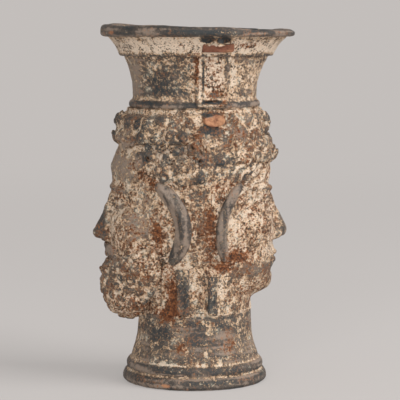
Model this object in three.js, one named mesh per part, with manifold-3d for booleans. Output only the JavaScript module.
// A terracotta jug in the form of two heads set back to back, built as a potter builds it: two press-moulded half
// shells, a thrown foot, neck and mouth, a clay floor, and applied hair, ears, beard and locks. Each piece is luted to
// its neighbour across a thin slip joint. The strap handle is broken away, and its stubs and bed are left.
// Millimetres, +Z up, origin at the centre of the foot's base. The bearded head faces -X, the beardless head +X, and
// the handle's marks are on the -Y side, which is the near side.

import * as THREE from "three";
import { ConvexGeometry } from "three/addons/geometries/ConvexGeometry.js";
import { mergeVertices } from "three/addons/utils/BufferGeometryUtils.js";
import Module from "manifold-3d";

const wasm = await Module();
wasm.setup();

// Heights of the stacked pieces
const FOOT_HEIGHT = 40;
const HEAD_HEIGHT = 114;
const NECK_HEIGHT = 30.5;
const MOUTH_HEIGHT = 14.5;

// Joints between the pieces
const SLIP = 0.3; // thickness of a slip joint
const SPIGOT_DEPTH = 6; // how far a thrown piece enters the heads
const SPIGOT_WALL = 2.5;
const SKIRT = 1.2; // how far the mouth laps down over the neck

// Thrown foot
const BASE_RADIUS = 40.7;
const LOWER_BAND = 6.6; // height of the lower band's top
const UPPER_BAND_RADIUS = 38.4;
const UPPER_BAND = 13; // height of the upper band's top
const WAIST_RADIUS = 31.7; // where the foot meets the heads
const FOOT_WALL = 5.5;
const FLOOR_RADIUS = 34;
const FLOOR_THICKNESS = 5.5;
const FLOOR_RECESS = 2.5; // the floor stands this far above the resting ring

// Thrown neck and mouth
const COLLAR_RADIUS = 36.6;
const COLLAR_HEIGHT = 4;
const NECK_RADIUS = 35;
const NECK_TOP_RADIUS = 41;
const NECK_WALL = 5.5;
const MOUTH_FOOT_RADIUS = 43;
const LIP_RADIUS = 54.6;
const LIP_OVERHANG = 5.3; // from the wall under the lip to its edge
const LIP_THICKNESS = 5.2;
const LIP_ROUND = 2.4; // radius of the lip's edge
const LIP_SHIFT = 2; // the mouth leans this far towards +X
const LIP_TILT = 1.8; // and its edge is this much higher at -X than midway

// Moulded heads. The reach is from the seam to the brow.
const WALL = 5.5;
const SKULL_HALF_WIDTH = 39;
const CHEEK_HALF_WIDTH = 37;
const JAW_HALF_WIDTH = 34;
const CHIN_RISE = 10; // the chin stands this far above the foot joint
const FACE_HALF_WIDTH = 29;
const NOSE_PROUD = 8.5;
const NOSE_HALF_WIDTH = 7.4;

// Rounded lumps of a face, each [half depth, half width, half height]
const FACE = [27, FACE_HALF_WIDTH, 38];
const CHIN = [8.5, 10.5, 7];
const THROAT = [17, 15, 15];
const JAW = [16, 14, 18];
const CHEEK = [12, 12, 14];
const BROW = [5, 12, 3.2];
const EYE = [4.6, 7.4, 3.6];
const UPPER_LIP = [4.8, 10.5, 2.5];
const LOWER_LIP = [4.6, 9, 2.7];
const MOUSTACHE = [3.4, 8, 2.9];
const BEARD = [18.4, 24, 17.8];
const BEARD_MOUTH = [9, 13, 6]; // what the beard leaves free round the lips

// Applied pieces
const EAR_PROUD = 4.6;
const EAR_FOOT_SHARE = 0.8; // of the ear's width, at its lower end
const LOCK_PROUD = 2.6;
const LOCK_RISE = 2.5; // above the foot joint
const BEARD_PROUD = 4;
const BEARD_GAP = 2; // between the beard and the ear
const BEARD_FORWARD = 5.4; // the beard stands this far in front of the brow
const BEARD_DROP = 15; // and hangs this far below the chin
const CURL_PITCH = 1.4; // centre distance in curl radii, so that each runs into the next
const SECOND_CURL = 5.6;
const TEMPLE_CURL = 4.6;
const ROW_GAP = 2.5; // bare strip between the neck joint and the top row
const SEAM_DROP = 0.6; // the second row falls this much towards the seam
const STRIP_HALF_WIDTH = 2.6;
const STRIP_PROUD = 1.6;
const COIL_HALF_WIDTH = 4;
const COIL_PROUD = 2.4;

// Broken handle
const HANDLE_TURN = THREE.MathUtils.degToRad(9); // its place round the neck, from -Y towards +X
const STRAP_WIDTH = 17.6;
const STUB_HEIGHT = 4.6;
const STUB_PROUD = 1.4; // beyond the mouth's wall at the stub's upper edge
const WEB_WIDTH = 3;
const BED_EDGE = 2.2; // width of the ridges beside the strap's bed
const BED_PROUD = 1.7;
const BED_SILL = 3.2;
const ROOT_HALF_WIDTH = 5.7;
const ROOT_HALF_HEIGHT = 3.7;
const ROOT_PROUD = 6.5;
const ROOT_DROP = 5.6; // from the neck joint to the root's centre

// Fineness of the facets
const THROWN_SIDES = 28;
const HEAD_SIDES = 24;
const HEAD_RINGS = 14;
const CURVE_STEPS = 3;

// Levels
const HEAD_Z = FOOT_HEIGHT;
const NECK_Z = HEAD_Z + HEAD_HEIGHT;
const MOUTH_Z = NECK_Z + NECK_HEIGHT;
const TOP_Z = MOUTH_Z + MOUTH_HEIGHT;
const LIP_Z = TOP_Z - LIP_THICKNESS;
const FLOOR_TOP = FLOOR_RECESS + FLOOR_THICKNESS;

// Radii that follow from a fit
const NECK_BORE = NECK_RADIUS - NECK_WALL;
const NECK_SPIGOT = NECK_BORE + SPIGOT_WALL;
const LIP_NECK_RADIUS = LIP_RADIUS - LIP_OVERHANG;
const FOOT_BORE = WAIST_RADIUS - FOOT_WALL;
const FOOT_SPIGOT = FOOT_BORE + SPIGOT_WALL;

// The face is divided by the usual canon: three equal parts from hairline to chin, the eyes halfway up the head.
const CHIN_Z = HEAD_Z + CHIN_RISE;
const FACE_PART = (NECK_Z - CHIN_Z) / 3.5;
const NOSE_BASE_Z = CHIN_Z + FACE_PART;
const BROW_Z = CHIN_Z + 2 * FACE_PART;
const HAIRLINE_Z = CHIN_Z + 3 * FACE_PART;
const EYE_Z = (CHIN_Z + NECK_Z) / 2;
const MOUTH_LINE_Z = NOSE_BASE_Z - FACE_PART / 3;

// What differs between the two heads. Distances are from the seam.
const bearded = {
  name: "bearded",
  turn: Math.PI,
  reach: 49,
  hairDepth: 40, // to the skull under the hair
  topCurl: 7.2,
  earTop: 24.3,
  earBelly: 6.3,
  earFoot: 15.5,
  earWidth: 7.5,
  lockFrom: 6.4,
  lockWidth: 6.6,
  lockLength: 24.5,
};
const beardless = {
  name: "beardless",
  turn: 0,
  reach: 44.5,
  hairDepth: 37.5,
  topCurl: 6.6,
  earTop: 22,
  earBelly: 9.4,
  earFoot: 13.5,
  earWidth: 5,
  lockFrom: 3.6,
  lockWidth: 5.4,
  lockLength: 19.5,
};

const slipped = new THREE.MeshStandardMaterial({ color: 0x6b655c, roughness: 0.7, metalness: 0 });
const encrusted = new THREE.MeshStandardMaterial({ color: 0xa08f7a, roughness: 0.9, metalness: 0 });
const bareClay = new THREE.MeshStandardMaterial({ color: 0xb0714a, roughness: 0.95, metalness: 0 });

// Solids for joining and cutting

function solid(geometry) {
  const bare = geometry.clone();
  bare.deleteAttribute("normal");
  bare.deleteAttribute("uv");
  const merged = mergeVertices(bare);
  const corners = merged.index.array;
  const kept = [];
  for (let i = 0; i < corners.length; i += 3) {
    const [a, b, c] = corners.slice(i, i + 3);
    if (a !== b && b !== c && c !== a) kept.push(a, b, c);
  }
  const vertProperties = merged.attributes.position.array;
  return new wasm.Manifold(new wasm.Mesh({ numProp: 3, vertProperties, triVerts: new Uint32Array(kept) }));
}

function join(geometries) {
  return geometries.map(solid).reduce((whole, next) => whole.add(next));
}

function piece(name, made, material) {
  const { vertProperties, triVerts } = made.getMesh();
  const geometry = new THREE.BufferGeometry();
  geometry.setAttribute("position", new THREE.BufferAttribute(new Float32Array(vertProperties), 3));
  geometry.setIndex(new THREE.BufferAttribute(new Uint32Array(triVerts), 1));
  geometry.computeVertexNormals();
  const mesh = new THREE.Mesh(geometry, material);
  mesh.name = name;
  return mesh;
}

// Basic forms

function thrown(outline) {
  const points = outline.getPoints(CURVE_STEPS);
  return new THREE.LatheGeometry(points, THROWN_SIDES).rotateX(Math.PI / 2);
}

function cylinder(radius, low, high) {
  const drawn = new THREE.CylinderGeometry(radius, radius, high - low, THROWN_SIDES);
  return drawn.rotateX(Math.PI / 2).translate(0, 0, (low + high) / 2);
}

function ellipsoid([x, y, z], [rx, ry, rz], roll = 0) {
  const ball = new THREE.SphereGeometry(1, 12, 7).scale(rx, ry, rz);
  return ball.rotateX(roll).translate(x, y, z);
}

// A side view outline, drawn as (distance from the seam, height), pushed through the -Y side, the +Y side or both (0)
function throughSide(outline, side) {
  const depth = side ? LIP_RADIUS : 2 * LIP_RADIUS;
  const slab = new THREE.ExtrudeGeometry(outline, { depth, bevelEnabled: false, curveSegments: 10 });
  return slab.rotateX(Math.PI / 2).translate(0, side < 0 ? 0 : LIP_RADIUS, 0);
}

function rectangle(left, right, low, high) {
  return new THREE.Shape([
    new THREE.Vector2(left, low),
    new THREE.Vector2(right, low),
    new THREE.Vector2(right, high),
    new THREE.Vector2(left, high),
  ]);
}

// Thrown pieces. The neck and the mouth lean together towards +X.

function lean(geometry) {
  const place = geometry.attributes.position;
  for (let i = 0; i < place.count; i++) {
    const rise = Math.max(0, place.getZ(i) - NECK_Z) / (TOP_Z - NECK_Z);
    const lip = Math.max(0, place.getZ(i) - LIP_Z) / LIP_THICKNESS;
    place.setZ(i, place.getZ(i) - (lip * LIP_TILT * place.getX(i)) / LIP_RADIUS);
    place.setX(i, place.getX(i) + LIP_SHIFT * rise * rise);
  }
  return geometry;
}

function makeFoot() {
  const outline = new THREE.Path();
  outline.moveTo(FLOOR_RADIUS + SLIP, 0);
  outline.lineTo(BASE_RADIUS - 1.6, 0);
  outline.quadraticCurveTo(BASE_RADIUS + 0.4, 0.4, BASE_RADIUS, LOWER_BAND * 0.45);
  outline.quadraticCurveTo(BASE_RADIUS - 0.4, LOWER_BAND * 0.9, BASE_RADIUS - 2.2, LOWER_BAND);
  outline.lineTo(UPPER_BAND_RADIUS - 0.8, LOWER_BAND + 0.5);
  outline.quadraticCurveTo(UPPER_BAND_RADIUS + 0.9, (LOWER_BAND + UPPER_BAND) / 2, UPPER_BAND_RADIUS - 1.3, UPPER_BAND);
  outline.lineTo(UPPER_BAND_RADIUS - 2, UPPER_BAND + 0.4);
  outline.bezierCurveTo(
    WAIST_RADIUS + 2.4,
    UPPER_BAND + 6,
    WAIST_RADIUS + 0.2,
    UPPER_BAND + 12,
    WAIST_RADIUS,
    FOOT_HEIGHT - SLIP,
  );
  outline.lineTo(FOOT_SPIGOT, FOOT_HEIGHT - SLIP);
  outline.lineTo(FOOT_SPIGOT, FOOT_HEIGHT + SPIGOT_DEPTH);
  outline.lineTo(FOOT_BORE, FOOT_HEIGHT + SPIGOT_DEPTH);
  outline.lineTo(FOOT_BORE, FOOT_HEIGHT - 8);
  outline.quadraticCurveTo(FOOT_BORE + 1, UPPER_BAND + 2, FLOOR_RADIUS - 3, FLOOR_TOP + SLIP);
  outline.lineTo(FLOOR_RADIUS + SLIP, FLOOR_TOP + SLIP);
  outline.lineTo(FLOOR_RADIUS + SLIP, 0);
  return solid(thrown(outline));
}

function makeFloor() {
  return solid(cylinder(FLOOR_RADIUS, FLOOR_RECESS, FLOOR_TOP));
}

// The outside of the neck, from its seat up, which the handle's marks also follow.
function drawNeck(outline, grow) {
  outline.lineTo(COLLAR_RADIUS - 0.8 + grow, NECK_Z + SLIP);
  outline.quadraticCurveTo(
    COLLAR_RADIUS + 0.6 + grow,
    NECK_Z + COLLAR_HEIGHT / 2,
    COLLAR_RADIUS - 0.6 + grow,
    NECK_Z + COLLAR_HEIGHT,
  );
  outline.lineTo(NECK_RADIUS + grow, NECK_Z + COLLAR_HEIGHT + 0.6);
  outline.bezierCurveTo(
    NECK_RADIUS + grow,
    NECK_Z + NECK_HEIGHT * 0.55,
    NECK_RADIUS + 2.4 + grow,
    NECK_Z + NECK_HEIGHT * 0.75,
    NECK_TOP_RADIUS + grow,
    MOUTH_Z,
  );
}

function makeNeck() {
  const outline = new THREE.Path();
  outline.moveTo(NECK_BORE, NECK_Z - SPIGOT_DEPTH);
  outline.lineTo(NECK_SPIGOT, NECK_Z - SPIGOT_DEPTH);
  outline.lineTo(NECK_SPIGOT, NECK_Z + SLIP);
  drawNeck(outline, 0);
  outline.lineTo(NECK_TOP_RADIUS - NECK_WALL, MOUTH_Z);
  outline.quadraticCurveTo(NECK_BORE, MOUTH_Z - NECK_HEIGHT * 0.25, NECK_BORE, MOUTH_Z - NECK_HEIGHT * 0.6);
  outline.lineTo(NECK_BORE, NECK_Z - SPIGOT_DEPTH);
  return solid(lean(thrown(outline)));
}

function neckCore(grow) {
  const outline = new THREE.Path();
  outline.moveTo(0, NECK_Z + SLIP - Math.max(0, grow));
  outline.lineTo(COLLAR_RADIUS - 0.8 + grow, NECK_Z + SLIP - Math.max(0, grow));
  drawNeck(outline, grow);
  outline.lineTo(0, MOUTH_Z);
  return solid(lean(thrown(outline)));
}

// The hollow wall of the mouth between its skirt and its lip, which the handle's upper stub also follows.
function mouthWall(grow) {
  return new THREE.QuadraticBezierCurve(
    new THREE.Vector2(MOUTH_FOOT_RADIUS + 0.6 + grow, MOUTH_Z + 1 - grow),
    new THREE.Vector2(MOUTH_FOOT_RADIUS + 2.4 + grow, MOUTH_Z + 4.5),
    new THREE.Vector2(LIP_NECK_RADIUS + grow, LIP_Z - grow),
  );
}

// The outside of the mouth, from its skirt up to the lip's edge.
function drawMouth(outline, grow) {
  const wall = mouthWall(grow);
  outline.lineTo(MOUTH_FOOT_RADIUS + grow, MOUTH_Z - SKIRT - grow);
  outline.lineTo(wall.v0.x, wall.v0.y);
  outline.quadraticCurveTo(wall.v1.x, wall.v1.y, wall.v2.x, wall.v2.y);
  outline.lineTo(LIP_RADIUS - LIP_ROUND * 0.6 + grow, LIP_Z - grow);
  outline.quadraticCurveTo(LIP_RADIUS + grow, LIP_Z, LIP_RADIUS + grow, LIP_Z + LIP_ROUND);
}

function makeMouth() {
  const outline = new THREE.Path();
  outline.moveTo(NECK_TOP_RADIUS + SLIP, MOUTH_Z - SKIRT);
  drawMouth(outline, 0);
  outline.quadraticCurveTo(LIP_RADIUS, TOP_Z, LIP_RADIUS - LIP_ROUND, TOP_Z);
  outline.lineTo(LIP_RADIUS - LIP_ROUND * 2, TOP_Z - 0.6);
  outline.quadraticCurveTo(
    LIP_NECK_RADIUS - NECK_WALL + 1,
    LIP_Z,
    NECK_TOP_RADIUS - NECK_WALL,
    MOUTH_Z + SLIP,
  );
  outline.lineTo(NECK_TOP_RADIUS + SLIP, MOUTH_Z + SLIP);
  outline.lineTo(NECK_TOP_RADIUS + SLIP, MOUTH_Z - SKIRT);
  return solid(lean(thrown(outline)));
}

function mouthCore(grow) {
  const outline = new THREE.Path();
  outline.moveTo(0, MOUTH_Z - SKIRT - grow);
  drawMouth(outline, grow);
  outline.lineTo(0, LIP_Z + LIP_ROUND);
  return solid(lean(thrown(outline)));
}

// Moulded heads, each drawn facing +X with its seam at x = 0

// Stations up the skull: front depth, half width, height.
function skullStations(head) {
  const station = (depth, halfWidth, height) => new THREE.Vector3(depth, halfWidth, height);
  const stations = [
    station(WAIST_RADIUS, WAIST_RADIUS, HEAD_Z),
    station(WAIST_RADIUS - 0.5, WAIST_RADIUS + 0.5, CHIN_Z),
    station(WAIST_RADIUS + 1, JAW_HALF_WIDTH, MOUTH_LINE_Z),
    station(head.reach - 10, CHEEK_HALF_WIDTH, NOSE_BASE_Z + FACE_PART * 0.15),
    station(head.reach - 6, SKULL_HALF_WIDTH - 0.5, EYE_Z),
    station(head.reach - 1.5, SKULL_HALF_WIDTH, BROW_Z + FACE_PART * 0.4),
    station(head.hairDepth, SKULL_HALF_WIDTH - 0.5, HAIRLINE_Z),
    station(COLLAR_RADIUS + 1, COLLAR_RADIUS, NECK_Z),
  ];
  return new THREE.CatmullRomCurve3(stations).getPoints(HEAD_RINGS);
}

function skullAt(head, height) {
  const stations = skullStations(head);
  const above = Math.max(1, stations.findIndex((s) => s.z >= height));
  const [low, high] = [stations[above - 1], stations[above]];
  return low.clone().lerp(high, (height - low.z) / (high.z - low.z));
}

// A lathe pulled into an oval. With past over 0 it runs on beyond both ends.
function skull(head, grow, past) {
  const stations = skullStations(head);
  const [first, last] = [stations[0], stations[stations.length - 1]];
  if (past) {
    stations.unshift(first.clone().setZ(first.z - past));
    stations.push(last.clone().setZ(last.z + past));
  }
  const rings = stations.map((s) => new THREE.Vector2(s.y + grow, s.z));
  const outline = [new THREE.Vector2(0, rings[0].y), ...rings, new THREE.Vector2(0, rings[rings.length - 1].y)];
  const oval = new THREE.LatheGeometry(outline, HEAD_SIDES).rotateX(Math.PI / 2);
  const place = oval.attributes.position;
  for (let i = 0; i < place.count; i++) {
    const ring = (i % outline.length) - 1;
    const s = stations[THREE.MathUtils.clamp(ring, 0, stations.length - 1)];
    place.setX(i, (place.getX(i) * (s.x + grow)) / (s.y + grow));
  }
  return oval;
}

function grown(radii, grow) {
  return radii.map((radius) => radius + grow);
}

function faceEgg(head, grow) {
  const middle = BROW_Z + FACE_PART / 2 - FACE[2];
  return ellipsoid([head.reach - FACE[0], 0, middle], grown(FACE, grow));
}

function nose(head, grow) {
  const r = head.reach;
  const corners = [
    [r - 8, 4, BROW_Z],
    [r - 1.6, 2.6, BROW_Z - 3],
    [r + NOSE_PROUD, 2.2, NOSE_BASE_Z + 5],
    [r + NOSE_PROUD - 2, 2.5, NOSE_BASE_Z + 1],
    [r + 2, NOSE_HALF_WIDTH, NOSE_BASE_Z + 6],
    [r + 1, NOSE_HALF_WIDTH, NOSE_BASE_Z + 1],
    [r - 8, NOSE_HALF_WIDTH, NOSE_BASE_Z],
  ];
  const middle = new THREE.Vector3(r - 1, 0, (BROW_Z + NOSE_BASE_Z) / 2);
  const outward = ([x, y, z]) => {
    const corner = new THREE.Vector3(x, y, z);
    return corner.addScaledVector(corner.clone().sub(middle).normalize(), grow);
  };
  return new ConvexGeometry(corners.flatMap(([x, y, z]) => [outward([x, y, z]), outward([x, -y, z])]));
}

function faceFeatures(head, grow) {
  const r = head.reach;
  const lump = (x, y, z, radii, roll) => ellipsoid([x, y, z], grown(radii, grow), roll);
  const features = [
    nose(head, grow),
    lump(r - CHIN[0] - 1, 0, CHIN_Z + CHIN[2], CHIN),
    lump(r - UPPER_LIP[0] + 1.2, 0, MOUTH_LINE_Z + UPPER_LIP[2], UPPER_LIP),
    lump(r - LOWER_LIP[0] + 0.6, 0, MOUTH_LINE_Z - LOWER_LIP[2] + 0.4, LOWER_LIP),
  ];
  for (const side of [-1, 1]) {
    features.push(lump(r - CHEEK[0] - 4, side * (CHEEK[1] + 2), NOSE_BASE_Z + CHEEK[2] - 6, CHEEK));
    features.push(lump(r - BROW[0] - 3, side * BROW[1], BROW_Z + 0.6, BROW, side * -0.12));
    features.push(lump(r - EYE[0] - 3.4, side * (EYE[1] + 5.6), EYE_Z - 0.8, EYE));
  }
  return features;
}

function jaws(head, grow) {
  const r = head.reach;
  const sides = [-1, 1].map((side) => {
    return ellipsoid([r - JAW[0] - 5, side * (JAW[1] - 3), CHIN_Z + JAW[2]], grown(JAW, grow));
  });
  return [...sides, ellipsoid([r - THROAT[0] - 3, 0, CHIN_Z + THROAT[2]], grown(THROAT, grow))];
}

function plainForms(head, grow) {
  return [skull(head, grow, 0), faceEgg(head, grow), ...jaws(head, grow)];
}

function headForms(head, grow) {
  return [...plainForms(head, grow), ...faceFeatures(head, grow)];
}

function cavityForms(head, grow) {
  return [skull(head, grow - WALL, 1), faceEgg(head, grow - WALL)];
}

function makeHalf(head) {
  const behind = new THREE.BoxGeometry(4 * LIP_RADIUS, 4 * LIP_RADIUS, 4 * TOP_Z);
  behind.translate(SLIP / 2 - 2 * LIP_RADIUS, 0, 0);
  return join(headForms(head, 0))
    .subtract(join(cavityForms(head, 0)))
    .subtract(solid(cylinder(NECK_SPIGOT + SLIP, NECK_Z - SPIGOT_DEPTH - SLIP, NECK_Z + 1)))
    .subtract(solid(cylinder(FOOT_SPIGOT + SLIP, HEAD_Z - 1, HEAD_Z + SPIGOT_DEPTH + SLIP)))
    .subtract(solid(behind));
}

// A layer of clay pressed on a head, from the slip joint to its own thickness
function layer(head, outline, side, proud) {
  return solid(throughSide(outline, side))
    .intersect(join(headForms(head, proud)))
    .subtract(join(headForms(head, SLIP)));
}

function makeEar(head, side) {
  const top = [head.earTop, templeHeight(head) - TEMPLE_CURL - SLIP];
  const belly = [head.earBelly, EYE_Z - 9];
  const foot = [head.earFoot, MOUTH_LINE_Z];
  const through = (from, middle, to, i) => 2 * middle[i] - (from[i] + to[i]) / 2;
  const inside = ([x, z], wide) => [x + wide, z];
  const [innerTop, innerBelly] = [inside(top, head.earWidth / 3), inside(belly, head.earWidth)];
  const innerFoot = inside(foot, head.earWidth * EAR_FOOT_SHARE);
  const outline = new THREE.Shape();
  outline.moveTo(...top);
  outline.quadraticCurveTo(through(top, belly, foot, 0), through(top, belly, foot, 1), ...foot);
  outline.lineTo(...innerFoot);
  outline.quadraticCurveTo(
    through(innerFoot, innerBelly, innerTop, 0),
    through(innerFoot, innerBelly, innerTop, 1),
    ...innerTop,
  );
  outline.closePath();
  return layer(head, outline, side, EAR_PROUD);
}

function makeLock(head, side) {
  const low = HEAD_Z + LOCK_RISE;
  const outline = rectangle(head.lockFrom, head.lockFrom + head.lockWidth, low, low + head.lockLength);
  return layer(head, outline, side, LOCK_PROUD);
}

// A row of curls from one angle round the head to another, at a height that may fall towards the seam
function makeCurls(head, row) {
  const steps = 24;
  const route = [];
  for (let i = 0; i <= steps; i++) {
    const turn = THREE.MathUtils.degToRad(THREE.MathUtils.lerp(row.from, row.to, i / steps));
    const height = THREE.MathUtils.lerp(row.front, row.seam, Math.abs(Math.sin(turn)));
    const { x, y } = skullAt(head, height);
    route.push(new THREE.Vector3(x * Math.cos(turn), y * Math.sin(turn), height));
  }
  const path = new THREE.CatmullRomCurve3(route);
  const count = Math.round(path.getLength() / (row.radius * CURL_PITCH));
  const curls = path.getSpacedPoints(count).map((middle) => {
    const curl = new THREE.SphereGeometry(row.radius, 8, 4);
    return curl.translate(middle.x, middle.y, middle.z);
  });
  const front = new THREE.BoxGeometry(2 * LIP_RADIUS, 4 * LIP_RADIUS, 2 * TOP_Z);
  front.translate(LIP_RADIUS + SLIP, 0, TOP_Z);
  const root = solid(handleRoot(SLIP).rotateZ(HANDLE_TURN - head.turn));
  return join(curls)
    .intersect(solid(front))
    .subtract(join(skullOnly(head, SLIP)))
    .subtract(neckCore(SLIP))
    .subtract(root);
}

function topHeight(head) {
  return NECK_Z - ROW_GAP - head.topCurl;
}

function secondHeight(head) {
  return topHeight(head) - head.topCurl - SECOND_CURL - SLIP;
}

function templeHeight(head) {
  return secondHeight(head) - SEAM_DROP - SECOND_CURL - TEMPLE_CURL - SLIP;
}

// The angles of each row are in degrees from the middle of the face.
function curlRows(head) {
  const seamAngle = 88;
  const level = (height, radius) => ({ front: height, seam: height, radius });
  const rootSpread = HANDLE_TURN + Math.asin((ROOT_HALF_WIDTH + head.topCurl) / SKULL_HALF_WIDTH);
  const besideRoot = THREE.MathUtils.radToDeg(rootSpread - Math.PI / 2);
  const topFrom = head === beardless ? besideRoot : -seamAngle;
  const rows = { curls_top: { ...level(topHeight(head), head.topCurl), from: topFrom, to: seamAngle } };
  const bothSides = (name, angle, row) => {
    const [left, right] = head === bearded ? ["far", "near"] : ["near", "far"];
    rows[`${name}_${left}`] = { ...row, from: -seamAngle, to: -angle };
    rows[`${name}_${right}`] = { ...row, from: angle, to: seamAngle };
  };
  const second = { ...level(secondHeight(head), SECOND_CURL), seam: secondHeight(head) - SEAM_DROP };
  if (head === bearded) bothSides("curls_side", 46, second);
  else rows.curls_fringe = { ...second, from: -seamAngle, to: seamAngle };
  bothSides("curls_temple", 62, level(templeHeight(head), TEMPLE_CURL));
  return rows;
}

// Beard and moustache, which only the bearded head has

function moustacheForm(head, side, grow) {
  const middle = [head.reach + 0.4, side * (MOUSTACHE[1] - 0.6), MOUTH_LINE_Z + UPPER_LIP[2] + MOUSTACHE[2] + 1];
  return ellipsoid(middle, grown(MOUSTACHE, grow), side * -0.35);
}

function makeMoustache(head, side) {
  const middle = new THREE.BoxGeometry(2 * LIP_RADIUS, SLIP, 2 * TOP_Z).translate(LIP_RADIUS, 0, TOP_Z / 2);
  return solid(moustacheForm(head, side, 0))
    .subtract(join(headForms(head, SLIP)))
    .subtract(solid(middle));
}

function makeBeard(head) {
  const r = head.reach;
  const back = head.earFoot + head.earWidth * EAR_FOOT_SHARE + BEARD_GAP;
  const edge = [
    [back, MOUTH_LINE_Z + 8],
    [r - 18, MOUTH_LINE_Z + 8],
    [r - 4, MOUTH_LINE_Z + 1],
    [r + 2, MOUTH_LINE_Z - 6],
    [r + BEARD_FORWARD, CHIN_Z + 8],
    [r + BEARD_FORWARD, CHIN_Z - 6],
    [r, CHIN_Z - BEARD_DROP + 2],
    [WAIST_RADIUS + 4, CHIN_Z - BEARD_DROP],
    [WAIST_RADIUS + 1.2, CHIN_Z - BEARD_DROP + 5],
    [back + 3, CHIN_Z + 1],
    [back, CHIN_Z + 13],
  ].map(([x, z]) => new THREE.Vector2(x, z));
  const outline = new THREE.Shape(new THREE.SplineCurve([...edge, edge[0]]).getPoints(2 * edge.length));
  const mass = ellipsoid([r + BEARD_FORWARD - BEARD[0], 0, CHIN_Z - BEARD_DROP + BEARD[2]], BEARD);
  const mouth = ellipsoid([r, 0, MOUTH_LINE_Z], BEARD_MOUTH);
  return solid(throughSide(outline, 0))
    .intersect(join([...plainForms(head, BEARD_PROUD), mass]))
    .subtract(join(headForms(head, SLIP)))
    .subtract(join([mouth, moustacheForm(head, -1, SLIP), moustacheForm(head, 1, SLIP)]));
}

// Pieces that cross the seam, drawn in the jug's own frame

function bothHeads(forms, grow) {
  return join([bearded, beardless].flatMap((head) => forms(head, grow).map((form) => form.rotateZ(head.turn))));
}

function skullOnly(head, grow) {
  return [skull(head, grow, 0)];
}

function makeSeamStrip(side) {
  const top = Math.min(templeHeight(bearded), templeHeight(beardless)) - TEMPLE_CURL - SLIP;
  const outline = rectangle(-STRIP_HALF_WIDTH, STRIP_HALF_WIDTH, HEAD_Z + 2, top);
  return solid(throughSide(outline, side))
    .intersect(bothHeads(skullOnly, STRIP_PROUD))
    .subtract(bothHeads(skullOnly, SLIP));
}

function makeInnerCoil(side) {
  const clear = SPIGOT_DEPTH + 2;
  const outline = rectangle(-COIL_HALF_WIDTH, COIL_HALF_WIDTH, HEAD_Z + clear, NECK_Z - clear);
  return solid(throughSide(outline, side))
    .intersect(bothHeads(skullOnly, -WALL - SLIP))
    .subtract(bothHeads(skullOnly, -WALL - SLIP - COIL_PROUD));
}

// What is left of the handle, drawn with the handle towards -Y

function handleRoot(grow) {
  const height = NECK_Z - ROOT_DROP;
  const outline = new THREE.Shape();
  outline.absellipse(0, height, ROOT_HALF_WIDTH + grow, ROOT_HALF_HEIGHT + grow, 0, 2 * Math.PI);
  const depth = SKULL_HALF_WIDTH + ROOT_PROUD - 2;
  return new THREE.ExtrudeGeometry(outline, { depth, bevelEnabled: false, curveSegments: 8 }).rotateX(Math.PI / 2);
}

// A head or a leaning thrown piece as the handle's own frame sees it
function seenFromHandle(made) {
  const { vertProperties, triVerts } = made.getMesh();
  const geometry = new THREE.BufferGeometry();
  geometry.setAttribute("position", new THREE.BufferAttribute(new Float32Array(vertProperties), 3));
  geometry.setIndex(new THREE.BufferAttribute(new Uint32Array(triVerts), 1));
  return solid(geometry.rotateZ(-HANDLE_TURN));
}

function makeRootStub() {
  return solid(handleRoot(0)).subtract(seenFromHandle(bothHeads(headForms, SLIP)));
}

function makeTopStub() {
  const low = MOUTH_Z + 1;
  const slab = rectangle(-STRAP_WIDTH / 2, STRAP_WIDTH / 2, low, low + STUB_HEIGHT);
  const web = rectangle(-WEB_WIDTH / 2, WEB_WIDTH / 2, low + STUB_HEIGHT - 1, LIP_Z);
  const cut = (outline, depth) =>
    solid(new THREE.ExtrudeGeometry(outline, { depth, bevelEnabled: false }).rotateX(Math.PI / 2));
  const wall = mouthWall(0).getPoints(20).find((point) => point.y >= low + STUB_HEIGHT);
  return cut(slab, wall.x + STUB_PROUD)
    .add(cut(web, LIP_NECK_RADIUS - 1))
    .subtract(seenFromHandle(mouthCore(SLIP)));
}

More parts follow.
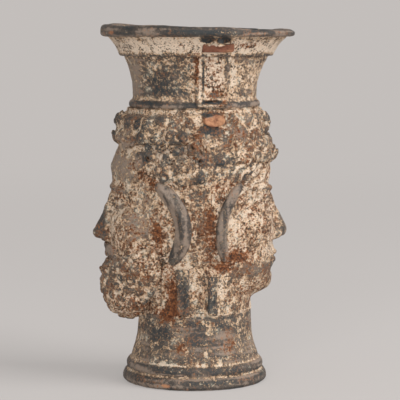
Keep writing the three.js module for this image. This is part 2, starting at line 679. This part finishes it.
function makeBed() {
  const half = STRAP_WIDTH / 2;
  const inner = half - BED_EDGE;
  const [low, high] = [NECK_Z + COLLAR_HEIGHT / 2, MOUTH_Z - SKIRT - SLIP];
  const corners = [
    [-half, low],
    [half, low],
    [half, high],
    [inner, high],
    [inner, low + BED_SILL],
    [-inner, low + BED_SILL],
    [-inner, high],
    [-half, high],
  ];
  const outline = new THREE.Shape(corners.map(([x, z]) => new THREE.Vector2(x, z)));
  return solid(throughSide(outline, -1))
    .intersect(seenFromHandle(neckCore(BED_PROUD)))
    .subtract(seenFromHandle(neckCore(SLIP)));
}

// Assembly

const jug = new THREE.Group();

jug.add(piece("foot", makeFoot(), slipped));
jug.add(piece("floor_disc", makeFloor(), bareClay));
jug.add(piece("neck", makeNeck(), slipped));
jug.add(piece("mouth", makeMouth(), slipped));

for (const head of [bearded, beardless]) {
  const group = new THREE.Group();
  group.rotation.z = head.turn;
  group.add(piece(`${head.name}_half`, makeHalf(head), encrusted));
  for (const [row, made] of Object.entries(curlRows(head))) {
    group.add(piece(`${head.name}_${row}`, makeCurls(head, made), encrusted));
  }
  for (const [word, towards] of [["near", -1], ["far", 1]]) {
    const side = head.turn ? -towards : towards;
    group.add(piece(`${head.name}_ear_${word}`, makeEar(head, side), slipped));
    group.add(piece(`${head.name}_lock_${word}`, makeLock(head, side), slipped));
    if (head === bearded) group.add(piece(`moustache_${word}`, makeMoustache(head, side), encrusted));
  }
  if (head === bearded) group.add(piece("beard", makeBeard(head), encrusted));
  jug.add(group);
}

for (const [word, side] of [["near", -1], ["far", 1]]) {
  jug.add(piece(`seam_strip_${word}`, makeSeamStrip(side), encrusted));
  jug.add(piece(`inner_seam_coil_${word}`, makeInnerCoil(side), bareClay));
}

const handle = new THREE.Group();
handle.rotation.z = HANDLE_TURN;
handle.add(piece("handle_top_stub", makeTopStub(), bareClay));
handle.add(piece("handle_bed", makeBed(), encrusted));
handle.add(piece("handle_root_stub", makeRootStub(), bareClay));
jug.add(handle);

export default jug;
